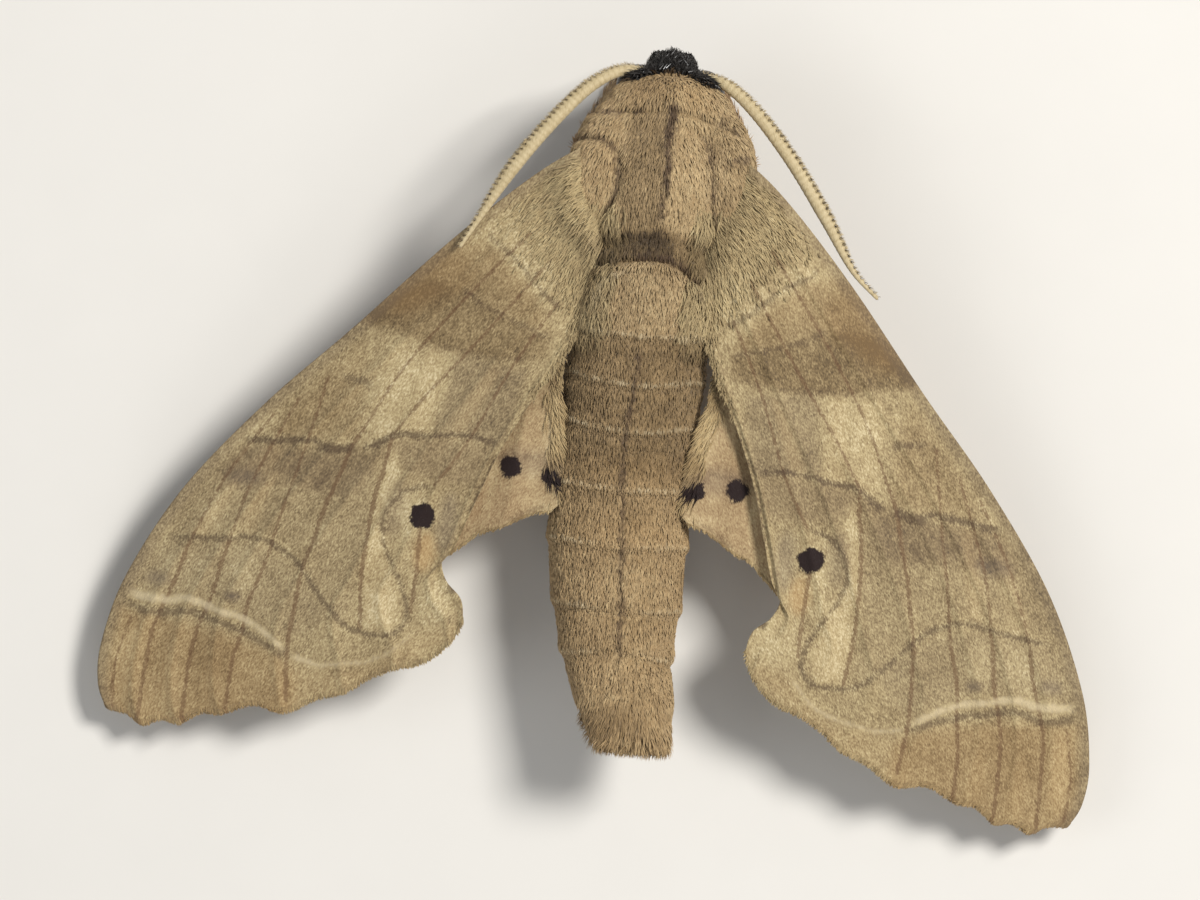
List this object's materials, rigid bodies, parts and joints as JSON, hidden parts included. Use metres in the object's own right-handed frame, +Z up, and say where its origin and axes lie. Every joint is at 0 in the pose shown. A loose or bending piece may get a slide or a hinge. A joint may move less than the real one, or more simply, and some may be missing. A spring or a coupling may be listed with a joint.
{
  "type": "swirled hawkmoth",
  "caption": "Resting hawkmoth with scalloped roof-like wings, stout furred thorax, ringed abdomen lifted at the tail, stout feelers and bent legs on flat feet.",
  "frame": {"origin": "middle of the outline seen from above, at the level that the feet stand on", "axes": "+Z is up, +Y is towards the head, and +X is the moth's right side"},
  "size_m": [0.0694, 0.052, 0.0137],
  "materials": {
    "forewing": "matt fine scales, ochre brown with darker swirled lines",
    "hindwing": "matt fine scales",
    "body": "short close fur, matt",
    "dark_hair": "black-brown hair with a slight shine",
    "eye": "glossy, nearly black",
    "antenna": "cream, finely ringed",
    "leg": "brown, closely haired"
  },
  "bodies": {
    "root": {"thorax": "body", "abdomen": "body", "head": "dark_hair", "eye_left": "eye", "eye_right": "eye", "palp_left": "dark_hair", "palp_right": "dark_hair", "antenna_left": "antenna", "antenna_right": "antenna", "forewing_left": "forewing", "forewing_right": "forewing", "hindwing_left": "hindwing", "hindwing_right": "hindwing", "leg_fore_left": "leg", "leg_fore_right": "leg", "leg_mid_left": "leg", "leg_mid_right": "leg", "leg_hind_left": "leg", "leg_hind_right": "leg"}
  },
  "joints": []
}
